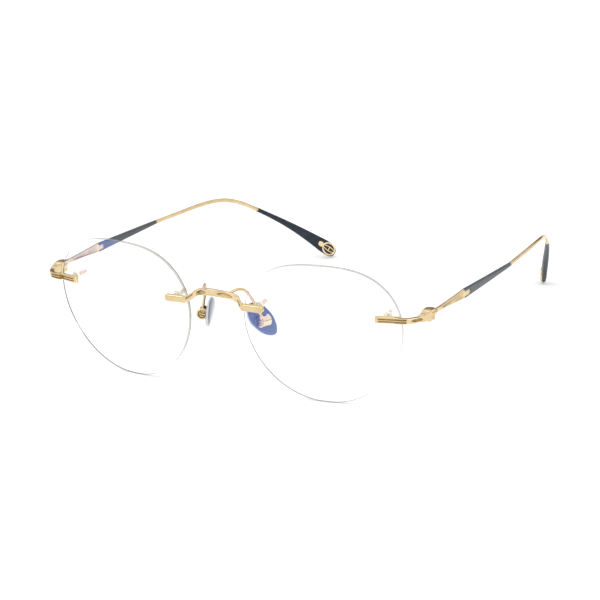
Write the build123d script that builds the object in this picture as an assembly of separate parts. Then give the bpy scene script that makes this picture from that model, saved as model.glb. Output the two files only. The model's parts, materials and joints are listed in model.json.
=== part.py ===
from build123d import *
import os
from math import cos, pi, radians, sin, sqrt

os.makedirs("parts", exist_ok=True)

# Rimless eyeglasses, temples open. X to the wearer's left, Y back along the temples, Z up.
# Everything is built round the middle of the lens line, then moved onto the floor.

# lenses
LENS_WIDTH = 49.0
LENS_CENTRE_X = 33.9
LENS_THICK = 1.9
BASE_CURVE = 180.0
WRAP = 8.0
PANTO = 8.4
OUTLINE_POINTS = 48
OUTLINE_SIZE = 0.951
OUTLINE_WAVES = (0.052, 0.039, -0.010)
BLANK_DEPTH = 8.0

# posts through the lenses
POST_R = 0.5
SLEEVE_IN_R = 0.52
SLEEVE_R = 0.82
HOLE_R = 0.85
POST_ROW = 6.25
POST_PLACE = 20.2
POST_LENGTH = 6.2
SLEEVE_PROUD = 6.0
POST_SUNK = 0.6
WASHER_R = 1.3
WASHER_THICK = 0.4
GAP = 0.05

# bars lying on the lenses
BAR_THICK = 1.25
BAR_SOFT = 0.45
BRIDGE_BAR_INNER = 18.5
END_BAR_INNER = 16.9
BAR_OUTER = 24.9
BRIDGE_HEIGHT = 2.15
END_HEIGHT = 2.0

# nose pads
PAD_LENGTH = 14.0
PAD_WIDTH = 7.4
PAD_THICK = 1.7
PAD_DOME = 27.0
PAD_SPLAY = 19.0
PAD_FRONTAL = 12.5
PAD_LEAN = 36.0
PAD_PIVOT = (10.5, 6.6, -1.2)
PAD_FACE = 1.25
PAD_OFFSET = (0.9, -0.4)
DRUM_R = 1.8
DRUM_LENGTH = 3.2
DRUM_SLOT = 1.3
DRUM_DEPTH = 1.05
MOUNT_THICK = 1.2
PAD_SCREW_R = 0.35
PAD_HEAD_R = 0.8
PAD_HEAD = 0.4
EYE_R = 0.85
EYE_NECK = 1.3
PAD_PLATE_HALF = (2.3, 1.8)
PAD_PLATE_THICK = 0.35
PAD_EDGE = 0.3
PAD_ROOM = 0.25
ARM_R = 0.45

# clearances: between fixed pieces and round a turning one
SNUG = 0.01
RUN = 0.03

# hinge, its axis leaning a little so that the folded temples stack
HINGE = (63.4, 11.0, 6.3)
HINGE_LEAN = 1.3
KNUCKLE_R = 1.55
HINGE_HEIGHT = 3.3
EAR = 0.85
HINGE_WASHER = 0.12
HINGE_SCREW_R = 0.5
SCREW_HEAD_R = 0.95
SCREW_HEAD = 0.4
BARREL_HEIGHT = HINGE_HEIGHT - 2 * (EAR + HINGE_WASHER + RUN)

# temples
TEMPLE_X = 64.0
TEMPLE_Z = 6.6
NECK_START = 13.4
PADDLE_END = 32.0
PADDLE_HEIGHT = 2.9
PADDLE_THICK = 1.2
NECK_HEIGHT = 1.3
TONGUE = 3.4
WIRE_R = 0.65
CORE_R = 0.4
DARK_THICK = 1.1
DARK_END = 66.2
TIP_START = 116.6
TIP_END = 145.2
TIP_SLIM = 0.72
TIP_HALF = 2.3
TIP_HALF_THICK = 1.0
PLATE_THICK = 0.5
PLATE_PLACE = 0.84
PLATE_SUNK = 0.3
PLATE_HALF = (2.75, 1.95)
PLATE_RIM = 0.6
PLATE_FLOOR = 0.15
PLATE_BAR = 0.4
PLATE_BARS = 1.1
PLATE_TONGUE = (2.6, 1.5)

parts = {}


def pair(name, piece):
    """Store the left piece and its mirror image."""
    parts[name + "_left"] = piece
    parts[name + "_right"] = mirror(piece, about=Plane.YZ)


def hinge_pair(name, make):
    """As pair, for pieces on the hinge, which leans the same way on both sides."""
    parts[name + "_left"] = make(HINGE_LEAN)
    parts[name + "_right"] = mirror(make(-HINGE_LEAN), about=Plane.YZ)


def along(axis_dir, point, radius, start, end):
    """A cylinder on the line through point, from start to end along it."""
    base = Vector(*point) + Vector(*axis_dir).normalized() * start
    return Plane(origin=base, z_dir=axis_dir) * Cylinder(
        radius, end - start, align=(Align.CENTER, Align.CENTER, Align.MIN))


# ---- lenses ----
def lens_frame():
    turn, lean = radians(WRAP), radians(PANTO)
    across = Vector(cos(turn), sin(turn), 0)
    up = Vector(0, -sin(lean), cos(lean))
    return Plane(origin=(LENS_CENTRE_X, 0, 0), x_dir=across, z_dir=across.cross(up))


LENS = lens_frame()
EDGE_R = LENS_WIDTH / 2
SPHERE_Z = -sqrt(BASE_CURVE ** 2 - EDGE_R ** 2)


def outline_radius(angle):
    """Nearly round outline, a little wide, with a flattened top and a rounded lower edge."""
    wide, top, square = OUTLINE_WAVES
    shape = 1 + wide * cos(2 * angle) + top * sin(3 * angle) + square * cos(4 * angle)
    return OUTLINE_SIZE * EDGE_R * shape


def outline_points():
    steps = [2 * pi * i / OUTLINE_POINTS for i in range(OUTLINE_POINTS)]
    return [(outline_radius(a) * cos(a), outline_radius(a) * sin(a)) for a in steps]


def front_depth(u, v):
    """Height of the lens front over the plane of its edge."""
    return SPHERE_Z + sqrt(BASE_CURVE ** 2 - u * u - v * v)


def seat(u):
    """Plane on the lens front at one place of the post row: x temporal, y up, z forward."""
    depth = front_depth(u, POST_ROW)
    normal = LENS.from_local_coords(Vector(u, POST_ROW, depth - SPHERE_Z)) - LENS.origin
    point = LENS.from_local_coords(Vector(u, POST_ROW, depth))
    return Plane(origin=point, x_dir=LENS.x_dir, z_dir=normal)


def on_post(side, radius, front, back):
    """Cylinder on the post axis at the nasal (-1) or temporal (1) end, from front to back of the lens face."""
    plane = seat(side * POST_PLACE)
    return along(-plane.z_dir, plane.origin, radius, -front, back)


def make_lens():
    rim = Spline(*[Vector(x, y) for x, y in outline_points()], periodic=True)
    blank = extrude(LENS * make_face(rim), BLANK_DEPTH, both=True)
    centre = LENS.from_local_coords(Vector(0, 0, SPHERE_Z))
    lens = blank & (Pos(centre) * Sphere(BASE_CURVE))
    lens -= Pos(centre) * Sphere(BASE_CURVE - LENS_THICK)
    for side in (-1, 1):
        lens -= on_post(side, HOLE_R, HOLE_R, LENS_THICK + HOLE_R)
    return lens


# ---- posts, sleeves and washers ----
def make_post(side):
    return on_post(side, POST_R, POST_SUNK, POST_LENGTH)


def make_sleeve(side):
    end = LENS_THICK + SLEEVE_PROUD
    return on_post(side, SLEEVE_R, -GAP, end) - on_post(side, SLEEVE_IN_R, 0, end + 1)


def make_washer(side):
    start = LENS_THICK + GAP
    end = start + WASHER_THICK
    return on_post(side, WASHER_R, -start, end) - on_post(side, SLEEVE_R + RUN, 0, end + 1)


def bar(side, height, reach, round_end):
    """Flat-backed bar on the lens front with softened front edges."""
    middle = side * POST_PLACE
    inner, outer = side * reach - middle, side * BAR_OUTER - middle
    face = Pos((inner + outer) / 2, 0) * Rectangle(abs(outer - inner), height)
    if round_end:
        face = Pos((inner + outer) / 2 - side * height / 4, 0) * SlotOverall(
            abs(outer - inner) + height / 2, height)
    plane = seat(middle)
    solid = extrude(plane.offset(GAP) * face, BAR_THICK)
    front = solid.faces().sort_by(Axis(plane.origin, plane.z_dir))[-1]
    return fillet(front.edges(), BAR_SOFT)


# ---- bridge ----
# half of the arch, from the middle out: across, forward (-Y) and height
ARCH_PLAN = [(0, -5.30), (2.2, -5.10), (4.2, -4.35), (6.0, -3.35), (7.4, -3.10), (8.8, -4.10), (10.2, -5.02)]
ARCH_RISE = [(0, 9.60), (2.2, 9.45), (4.2, 9.05), (6.0, 8.45), (7.6, 7.50), (9.0, 6.45), (10.6, 6.05)]
ARCH_THICK = 1.3
ENGRAVE = 0.12


def band(half, width):
    """Closed face of a symmetric band of the given width round a half curve."""
    full = [(-a, b) for a, b in reversed(half[1:])] + list(half)
    top = Spline(*[Vector(a, b + width / 2) for a, b in full])
    low = Spline(*[Vector(a, b - width / 2) for a, b in full])
    ends = [Line(top @ 0, low @ 0), Line(top @ 1, low @ 1)]
    return make_face([top, low] + ends)


def engraved_panels():
    """Pointed panels cut a little way into the arch face, one each side of its middle."""
    skin = extrude(Pos(0, -(ARCH_THICK - ENGRAVE) / 2, 0) * band(ARCH_PLAN, ENGRAVE), 30)
    cuts = []
    for side in (-1, 1):
        inner, outer = Vector(side * 1.9, 9.85), Vector(side * 6.1, 8.35)
        above = ThreePointArc(inner, Vector(side * 4.3, 9.6), outer)
        below = ThreePointArc(inner, Vector(side * 3.9, 8.6), outer)
        window = extrude(Plane.XZ * make_face([above, below]), 30)
        cuts.append(window & skin)
    return cuts


def make_arch():
    plan = extrude(band(ARCH_PLAN, ARCH_THICK), 30)
    rise = extrude(Plane.XZ * band(ARCH_RISE, BRIDGE_HEIGHT), 30)
    return plan & rise


def make_bridge():
    left = bar(-1, BRIDGE_HEIGHT, BRIDGE_BAR_INNER, True)
    bridge = make_arch() + left + mirror(left, about=Plane.YZ)
    for cut in engraved_panels():
        bridge -= cut
    return bridge - both_sides(make_post(-1))


def both_sides(piece):
    """The piece and its mirror image, as one node."""
    return Compound([piece, mirror(piece, about=Plane.YZ)])


# ---- end-pieces and the front half of the hinge ----
END_PLAN = [(57.2, 0.45), (59.6, 0.95), (61.7, 2.5), (63.1, 5.2), (63.4, 8.9)]
END_WIDTH = 1.6
END_SOFT = 0.3
WAIST = 0.62
WAIST_HEIGHT = 1.6


def hinge_frame(lean):
    """Hinge centre with its axis as Z, leaning sideways."""
    return Pos(*HINGE) * Rot(0, lean, 0)


def end_neck():
    """Neck from the bar on the lens to the hinge, waisted on the way."""
    path = Spline(*[Vector(x, y, HINGE[2]) for x, y in END_PLAN])
    sizes = [(0, END_WIDTH * 0.8, END_HEIGHT), (WAIST, END_WIDTH, WAIST_HEIGHT),
             (1, KNUCKLE_R * 1.7, HINGE_HEIGHT - 0.4)]
    sections = [Plane(origin=path @ t, z_dir=path % t) * RectangleRounded(wide, tall, END_SOFT)
                for t, wide, tall in sizes]
    return sweep(sections, path=path, multisection=True)


def make_endpiece(lean):
    local = hinge_frame(lean)
    block = Pos(0, -KNUCKLE_R * 0.9, 0) * Box(KNUCKLE_R * 2 - 0.3, KNUCKLE_R * 1.8, HINGE_HEIGHT)
    ears = local * (Cylinder(KNUCKLE_R, HINGE_HEIGHT) + block)
    gap = local * Cylinder(KNUCKLE_R + 0.12, HINGE_HEIGHT - 2 * EAR)
    sweep_room = local * Pos(0, KNUCKLE_R, 0) * Box(
        KNUCKLE_R * 2 + 1, KNUCKLE_R * 2, HINGE_HEIGHT - 2 * EAR)
    piece = bar(1, END_HEIGHT, END_BAR_INNER, False) + end_neck() + ears - gap - sweep_room
    piece -= local * Cylinder(HINGE_SCREW_R + SNUG, HINGE_HEIGHT + 1)
    piece -= local * Pos(0, 0, HINGE_HEIGHT / 2 - SCREW_HEAD / 2) * Cylinder(
        SCREW_HEAD_R + SNUG, SCREW_HEAD + 0.001)
    return piece - make_post(1)


def make_hinge_screw(lean):
    shaft = Cylinder(HINGE_SCREW_R, HINGE_HEIGHT)
    head = Pos(0, 0, HINGE_HEIGHT / 2 - SCREW_HEAD / 2) * Cylinder(SCREW_HEAD_R, SCREW_HEAD)
    slot = Pos(0, 0, HINGE_HEIGHT / 2) * Box(3, 0.3, 0.3)
    return hinge_frame(lean) * (shaft + head - slot)


def make_hinge_washers(lean):
    height = HINGE_HEIGHT / 2 - EAR - HINGE_WASHER / 2
    disc = Cylinder(KNUCKLE_R - 0.1, HINGE_WASHER) - Cylinder(HINGE_SCREW_R + RUN, 1)
    return Compound([hinge_frame(lean) * Pos(0, 0, z) * disc for z in (-height, height)])


# ---- temples ----
def make_barrel(lean):
    """Temple knuckle with its tang back to the neck."""
    tang = Pos(0.3, (NECK_START - HINGE[1]) / 2, 0) * Box(
        NECK_HEIGHT, NECK_START - HINGE[1], BARREL_HEIGHT)
    knuckle = Cylinder(KNUCKLE_R, BARREL_HEIGHT) + tang
    return hinge_frame(lean) * (knuckle - Cylinder(HINGE_SCREW_R + RUN, 3))


# centre line of the wire: back, across, height
WIRE = [(DARK_END, 63.45, 6.63), (78, 62.3, 6.65), (88, 61.25, 6.7), (96, 60.1, 6.5), (102, 58.8, 5.85),
        (108, 57.1, 4.1), (TIP_START, 53.8, -0.4), (130, 47.5, -9.3), (TIP_END, 39.8, -21.55)]


TIP_POINT = 6


def wire_path():
    return Spline(*[Vector(x, y, z) for y, x, z in WIRE])


def tip_start():
    """Place along the wire path where the dark tip begins."""
    back, across, up = WIRE[TIP_POINT]
    return wire_path().param_at_point(Vector(across, back, up))


def tip_path():
    return wire_path().trim(tip_start(), 1)


def temple_profile():
    """Side view of the neck, the paddle and its tongue, as (y, z) in the YZ plane."""
    low, mid = NECK_HEIGHT / 2, TEMPLE_Z
    top = Spline(Vector(NECK_START, mid + low), Vector(17, mid + low + 0.02),
                 Vector(23, mid + low + 0.35), Vector(PADDLE_END, mid + PADDLE_HEIGHT / 2))
    under = Spline(Vector(NECK_START, mid - low), Vector(17, mid - low - 0.02),
                   Vector(23, mid - low - 0.35), Vector(PADDLE_END, mid - PADDLE_HEIGHT / 2))
    closing = [Line(top @ 0, under @ 0), Line(top @ 1, under @ 1)]
    tongue = Pos(PADDLE_END, mid) * SlotOverall(TONGUE * 2, PADDLE_HEIGHT * 0.55)
    return make_face([top, under] + closing) + tongue


def dark_path():
    """Centre line of the dark section, from the paddle to the wire."""
    return Spline(Vector(TEMPLE_X, PADDLE_END, TEMPLE_Z), Vector(TEMPLE_X - 0.2, 48, TEMPLE_Z),
                  Vector(WIRE[0][1], WIRE[0][0], WIRE[0][2]), tangents=[(0, 1, 0), wire_path() % 0])


def round_bar(path, radius):
    return sweep(Plane(origin=path @ 0, z_dir=path % 0) * Circle(radius), path=path)


def make_core():
    """Neck, paddle, wire and the thinner core inside the dark pieces, in one."""
    sheet = Plane(origin=(TEMPLE_X - PADDLE_THICK / 2, 0, 0), x_dir=(0, 1, 0), z_dir=(1, 0, 0))
    paddle = extrude(sheet * temple_profile(), PADDLE_THICK)
    bare = wire_path().trim(0, tip_start())
    hidden = wire_path().trim(tip_start() - 0.02, tip_start() + 0.2)
    return paddle + round_bar(dark_path(), CORE_R) + round_bar(bare, WIRE_R) + round_bar(hidden, CORE_R)


def make_dark_sleeve(core):
    """Dark section behind the paddle, tapering to the wire; the tongue stands a little proud of it."""
    path = dark_path()
    slices = []
    for t in (0, 0.25, 0.5, 0.75, 1):
        wide = DARK_THICK + (2 * WIRE_R + GAP - DARK_THICK) * t
        tall = PADDLE_HEIGHT + (2 * WIRE_R + GAP - PADDLE_HEIGHT) * t
        slices.append(section(path, t) * RectangleRounded(wide, tall, wide * 0.42))
    return loft(slices, ruled=True) - core


def section(path, t):
    """Plane across the path: x level, y up."""
    tangent = path % t
    level = tangent.cross(Vector(0, 0, 1)).normalized()
    return Plane(origin=path @ t, x_dir=level, z_dir=tangent)


def tip_half_height(t):
    """Half height along the tip: slim, widening, then rounded off over the last tenth."""
    grown = TIP_SLIM + (TIP_HALF - TIP_SLIM) * min(1, (t / 0.85) ** 1.8)
    ending = max(0, (t - 0.9) / 0.1)
    return grown * sqrt(1 - 0.75 * ending ** 2)


def tip_half_thick(t):
    ending = max(0, (t - 0.92) / 0.08)
    grown = TIP_SLIM - 0.02 + (TIP_HALF_THICK - TIP_SLIM + 0.02) * min(1, 2 * t)
    return grown * sqrt(1 - 0.7 * ending ** 2)


def make_tip(core):
    """Dark tip, widening and flattening towards its rounded end."""
    path = tip_path()
    stations = [i * 0.1 for i in range(10)] + [0.94, 0.97, 0.99, 1]
    tip = loft([section(path, t) * Ellipse(tip_half_thick(t), tip_half_height(t)) for t in stations],
               ruled=True)
    return tip - core - plate_blank()


def plate_frame():
    """Inner face of the tip, near its end: x along the tip, z towards the head."""
    path = tip_path()
    there = section(path, PLATE_PLACE)
    inward = there.x_dir * (1 if there.x_dir.X < 0 else -1)
    origin = there.origin + inward * (TIP_HALF_THICK - PLATE_SUNK)
    return Plane(origin=origin, x_dir=there.z_dir, z_dir=inward)


def plate_blank():
    length, width = PLATE_TONGUE
    oval = Ellipse(*PLATE_HALF) + Pos(-PLATE_HALF[0] - GAP, 0) * SlotOverall(length, width)
    return extrude(plate_frame() * oval, PLATE_THICK)


def make_plate():
    """Openwork oval: a ring with three bars and a rounded tongue."""
    hole = Ellipse(PLATE_HALF[0] - PLATE_RIM, PLATE_HALF[1] - PLATE_RIM)
    for place in (-PLATE_BARS, 0, PLATE_BARS):
        hole -= Pos(place, 0) * Rectangle(PLATE_BAR, 2 * PLATE_HALF[1])
    window = extrude(plate_frame().offset(PLATE_FLOOR) * hole, 2 * PLATE_THICK)
    return plate_blank() - window


# ---- nose pads ----
def pad_axes():
    splay, tilt = radians(PAD_SPLAY), radians(PAD_FRONTAL)
    level = Vector(-cos(splay), sin(splay), 0)
    along_pad = Vector(sin(splay), cos(splay), 0)
    normal = level * cos(tilt) - Vector(0, 0, 1) * sin(tilt)
    return normal, along_pad


def pad_plane(distance):
    """Plane across the pad at a distance from the pivot: x back along it, y down, z towards the nose."""
    normal, back = pad_axes()
    return Plane(origin=Vector(*PAD_PIVOT) + normal * distance, x_dir=back, z_dir=normal)


def pad_outline():
    """Drop with a wide front corner at its top, in its own axes: x back, y down."""
    half, wide = PAD_LENGTH / 2, PAD_WIDTH / 2
    points = [(-wide * 0.2, -half), (wide * 0.72, -half * 0.6), (wide, 0), (wide * 0.86, half * 0.55),
              (wide * 0.1, half), (-wide * 0.72, half * 0.6), (-wide * 1.04, 0), (-wide, -half * 0.55)]
    return make_face(Spline(*[Vector(x, y) for x, y in points], periodic=True))


def make_pad():
    place = pad_plane(PAD_FACE) * Pos(PAD_OFFSET[0], PAD_OFFSET[1], 0) * Rot(0, 0, -PAD_LEAN)
    dome = place * Pos(0, 0, PAD_THICK - PAD_DOME) * Sphere(PAD_DOME)
    body = (place * extrude(pad_outline(), PAD_THICK)) & dome
    body = fillet(body.edges(), PAD_EDGE)
    _, back = pad_axes()
    reach = DRUM_LENGTH / 2 + PAD_HEAD
    body -= along(back, PAD_PIVOT, DRUM_R + PAD_ROOM, -reach, reach)
    return body - make_mount() - make_pad_plate()


def make_mount():
    """Eye on the pad screw with a neck into the pad."""
    _, back = pad_axes()
    eye = along(back, PAD_PIVOT, EYE_R, -MOUNT_THICK / 2, MOUNT_THICK / 2)
    neck = extrude(pad_plane(0) * Rectangle(MOUNT_THICK, EYE_NECK), DRUM_R + PAD_HEAD)
    return eye + neck - along(back, PAD_PIVOT, PAD_SCREW_R + RUN, -DRUM_LENGTH, DRUM_LENGTH)


def make_pad_plate():
    """Openwork oval moulded into the pad and fixed to the neck."""
    length, width = PAD_PLATE_HALF
    oval = Ellipse(length, width)
    for side in (-1, 1):
        oval -= Pos(side * length / 2, 0) * Ellipse(length / 5, width / 2)
    return extrude(pad_plane(DRUM_R + PAD_HEAD) * oval, PAD_PLATE_THICK)


def make_pad_box():
    """Drum on the pivot line, slotted towards the pad."""
    _, back = pad_axes()
    drum = along(back, PAD_PIVOT, DRUM_R, -DRUM_LENGTH / 2, DRUM_LENGTH / 2)
    drum -= extrude(pad_plane(-DRUM_DEPTH) * Rectangle(DRUM_SLOT, 4 * DRUM_R), 4 * DRUM_R)
    drum -= along(back, PAD_PIVOT, PAD_SCREW_R + SNUG, -DRUM_LENGTH, DRUM_LENGTH)
    return drum - along(back, PAD_PIVOT, PAD_HEAD_R + SNUG, -DRUM_LENGTH, PAD_HEAD - DRUM_LENGTH / 2)


def make_pad_screw():
    _, back = pad_axes()
    shaft = along(back, PAD_PIVOT, PAD_SCREW_R, -DRUM_LENGTH / 2, DRUM_LENGTH / 2)
    return shaft + along(back, PAD_PIVOT, PAD_HEAD_R, -DRUM_LENGTH / 2, PAD_HEAD - DRUM_LENGTH / 2)


# centre line of the pad arm from the back of the arch over to the drum
ARM = [(4.3, -3.9, 8.9), (5.0, -1.7, 9.5), (6.4, 1.5, 9.4), (7.6, 3.5, 7.2), (8.5, 4.4, 4.8),
       (9.4, 5.2, 2.3), (10.2, 6.0, 0.2)]


def make_arm():
    path = Spline(*[Vector(*p) for p in ARM])
    wire = sweep(Plane(origin=path @ 0, z_dir=path % 0) * Circle(ARM_R), path=path)
    return wire - parts["bridge"] - make_pad_box()


# ---- make every node ----
parts["bridge"] = make_bridge()
parts["bridge_posts"] = both_sides(make_post(-1))
parts["bridge_washers"] = both_sides(make_washer(-1))
pair("lens", make_lens())
for end, side in (("bridge", -1), ("end", 1)):
    pair(end + "_sleeves", make_sleeve(side))
pair("end_posts", make_post(1))
pair("end_washers", make_washer(1))
hinge_pair("endpiece", make_endpiece)
hinge_pair("hinge_screw", make_hinge_screw)
hinge_pair("hinge_washers", make_hinge_washers)
hinge_pair("temple_barrel", make_barrel)
pair("temple_core", make_core())
pair("temple_sleeve", make_dark_sleeve(parts["temple_core_left"]))
pair("temple_tip", make_tip(parts["temple_core_left"]))
pair("tip_plate", make_plate())
pair("pad_box", make_pad_box())
pair("pad_screw", make_pad_screw())
pair("pad_arm", make_arm())
pair("pad_mount", make_mount())
pair("pad_plate", make_pad_plate())
pair("nose_pad", make_pad())

# ---- stand it on the floor, centred ----
extent = Compound([s for p in parts.values() for s in p.solids()]).bounding_box(optimal=True)
shift = Pos(0, -(extent.min.Y + extent.max.Y) / 2, -extent.min.Z)
for name, piece in parts.items():
    export_step(shift * piece, f"parts/{name}.step")
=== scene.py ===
import json
from math import cos, pi, radians, sin, sqrt

import bmesh
import bpy
import numpy as np
from mathutils import Matrix, Vector


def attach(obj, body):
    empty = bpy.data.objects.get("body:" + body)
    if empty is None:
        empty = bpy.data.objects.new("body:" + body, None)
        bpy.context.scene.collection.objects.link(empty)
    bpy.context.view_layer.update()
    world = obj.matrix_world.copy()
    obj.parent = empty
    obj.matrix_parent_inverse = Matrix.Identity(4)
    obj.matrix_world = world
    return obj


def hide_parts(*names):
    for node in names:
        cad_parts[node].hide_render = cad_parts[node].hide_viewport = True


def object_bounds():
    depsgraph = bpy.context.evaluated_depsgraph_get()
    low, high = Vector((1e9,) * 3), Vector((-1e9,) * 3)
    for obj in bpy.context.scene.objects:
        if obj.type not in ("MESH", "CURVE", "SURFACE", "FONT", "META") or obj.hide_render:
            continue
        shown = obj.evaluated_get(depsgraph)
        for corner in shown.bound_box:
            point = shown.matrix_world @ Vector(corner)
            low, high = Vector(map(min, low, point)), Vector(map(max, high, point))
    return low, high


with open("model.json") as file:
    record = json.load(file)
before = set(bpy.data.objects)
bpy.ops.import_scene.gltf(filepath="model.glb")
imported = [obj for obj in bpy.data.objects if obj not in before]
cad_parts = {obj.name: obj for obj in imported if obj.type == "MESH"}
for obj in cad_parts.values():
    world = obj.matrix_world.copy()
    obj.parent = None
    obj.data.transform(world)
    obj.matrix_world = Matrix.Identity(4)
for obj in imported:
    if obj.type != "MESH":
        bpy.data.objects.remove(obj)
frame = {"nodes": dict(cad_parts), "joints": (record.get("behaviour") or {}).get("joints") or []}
cad_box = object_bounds()

# Lengths are in millimetres round the middle of the lens line, as in the CAD source.
# X runs to the wearer's left, Y back along the temples and Z up. Side pieces are shaped
# for the left and mirrored for the right.
MM = 0.001
HINGE = Vector((63.4, 11.0, 6.3))
HINGE_LEAN = 1.3
JOINTS = {joint["name"]: joint for joint in frame["joints"]}
ORIGIN = Vector(JOINTS["left_hinge"]["pos_m"]) - HINGE * MM
SIDES = (("left", 1), ("right", -1))
UP = Vector((0, 0, 1))


# ---------- curves and sections ----------
def smooth_line(points, count):
    """Points on a natural cubic through the given ones, evenly spread along it."""
    p = np.array(points, float)
    t = np.concatenate([[0], np.cumsum(np.linalg.norm(np.diff(p, axis=0), axis=1))])
    h = np.diff(t)
    n = len(p)
    a = np.eye(n)
    b = np.zeros_like(p)
    for i in range(1, n - 1):
        a[i, i - 1:i + 2] = h[i - 1], 2 * (h[i - 1] + h[i]), h[i]
        b[i] = 6 * ((p[i + 1] - p[i]) / h[i] - (p[i] - p[i - 1]) / h[i - 1])
    m = np.linalg.solve(a, b)
    x = np.linspace(0, t[-1], count)
    k = np.clip(np.searchsorted(t, x, side="right") - 1, 0, n - 2)
    low, high, width = (x - t[k])[:, None], (t[k + 1] - x)[:, None], h[k][:, None]
    curve = (m[k] * high ** 3 + m[k + 1] * low ** 3) / (6 * width)
    curve += (p[k] / width - m[k] * width / 6) * high
    curve += (p[k + 1] / width - m[k + 1] * width / 6) * low
    return [Vector(q) for q in curve]


def between(keys, x):
    """Smoothly blended value of a list of (place, value) keys."""
    for (x0, v0), (x1, v1) in zip(keys, keys[1:]):
        if x <= x1:
            s = max(0.0, (x - x0) / (x1 - x0))
            s = s * s * (3 - 2 * s)
            return v0 + (v1 - v0) * s
    return keys[-1][1]


def rounded(width, height, radius, steps=5):
    """Outline of a rectangle with rounded corners."""
    radius = min(radius, width / 2 - 0.001, height / 2 - 0.001)
    corners = ((1, 1, 0), (-1, 1, 90), (-1, -1, 180), (1, -1, 270))
    outline = []
    for sx, sy, start in corners:
        for i in range(steps + 1):
            a = radians(start + 90 * i / steps)
            outline.append((sx * (width / 2 - radius) + radius * cos(a),
                            sy * (height / 2 - radius) + radius * sin(a)))
    return outline


def densify(outline, parts, least=0.35):
    """Adds points along the straight sides of an outline."""
    dense = []
    for i, (a, b) in enumerate(outline):
        c, d = outline[(i + 1) % len(outline)]
        cuts = parts if abs(c - a) + abs(d - b) > least else 1
        dense += [(a + (c - a) * k / parts, b + (d - b) * k / parts) for k in range(cuts)]
    return dense


def ellipse(half_width, half_height, count=32):
    turns = [2 * pi * i / count for i in range(count)]
    return [(half_width * cos(a), half_height * sin(a)) for a in turns]


def superellipse(half_width, half_height, power, count=36):
    """Ellipse that grows boxier as the power falls below one."""
    outline = []
    for c, s in ellipse(1, 1, count):
        outline.append((half_width * abs(c) ** power * (1 if c > 0 else -1),
                        half_height * abs(s) ** power * (1 if s > 0 else -1)))
    return outline


def placed(outline, centre, across, up):
    return [centre + across * x + up * y for x, y in outline]


def section_axes(points, i):
    """Level and upward directions across a path."""
    tangent = (points[min(i + 1, len(points) - 1)] - points[max(i - 1, 0)]).normalized()
    level = tangent.cross(UP).normalized()
    return level, level.cross(tangent)


def plane_axes(x_axis, normal):
    z = normal.normalized()
    x = (x_axis - z * x_axis.dot(z)).normalized()
    return x, z.cross(x), z


def rounded_end(distance, radius):
    """Share of full size near a round end."""
    if distance >= radius:
        return 1.0
    return sqrt(max(0.02, 1 - (1 - distance / radius) ** 2))


# ---------- meshes ----------
class Shape:
    """Vertices and faces collected for one piece, in millimetres on the left side."""

    def __init__(self):
        self.verts = []
        self.faces = []
        self.finish = []

    def loft(self, rings, caps=True, closed=False, finish=lambda i, j: 0):
        """Joins equal rings of points, with flat ends or closed on itself.

        finish gives the material of the face after point j, between rings i and i + 1.
        """
        base, size = len(self.verts), len(rings[0])
        for ring in rings:
            self.verts.extend(ring)
        last = len(rings) if closed else len(rings) - 1
        for i in range(last):
            low, high = base + i * size, base + (i + 1) % len(rings) * size
            for j in range(size):
                k = (j + 1) % size
                self.faces.append((low + j, low + k, high + k, high + j))
                self.finish.append(finish(i, j))
        if caps and not closed:
            end = base + last * size
            self.faces.append(tuple(base + j for j in reversed(range(size))))
            self.faces.append(tuple(end + j for j in range(size)))
            self.finish += [0, 0]

    def tube(self, line, radius, count=24):
        """Round wire along a line of points."""
        rings = []
        for i, centre in enumerate(line):
            rings.append(placed(ellipse(radius, radius, count), centre, *section_axes(line, i)))
        self.loft(rings)

    def add(self, other, mirror):
        """Takes in another shape, with its X multiplied by mirror."""
        base = len(self.verts)
        self.verts += [Vector((mirror * v.x, v.y, v.z)) for v in other.verts]
        self.faces += [tuple(base + k for k in face) for face in other.faces]
        self.finish += other.finish

    def build(self, name, body, materials, side, replaces, sharp):
        """Turns the shape into an object riding on a body; side -1 mirrors it."""
        mesh = bpy.data.meshes.new(name)
        points = [ORIGIN + Vector((side * v.x, v.y, v.z)) * MM for v in self.verts]
        mesh.from_pydata([tuple(p) for p in points], [], self.faces)
        for item in materials:
            mesh.materials.append(item)
        mesh.polygons.foreach_set("material_index", self.finish)
        obj = bpy.data.objects.new(name, mesh)
        bpy.context.scene.collection.objects.link(obj)
        orient(mesh)
        for polygon in mesh.polygons:
            polygon.use_smooth = True
        mesh.set_sharp_from_angle(angle=radians(sharp))
        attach(obj, body)
        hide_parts(replaces)


def orient(mesh):
    """Makes every face look outwards."""
    work = bmesh.new()
    work.from_mesh(mesh)
    bmesh.ops.recalc_face_normals(work, faces=work.faces)
    work.to_mesh(mesh)
    work.free()


# ---------- materials ----------
LENS_IOR = 1.5
COATING = (0.030, 0.045, 0.140)
RELIEF = 0.0001
CUT_CELLS = 4200
HAZE = 120


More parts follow.
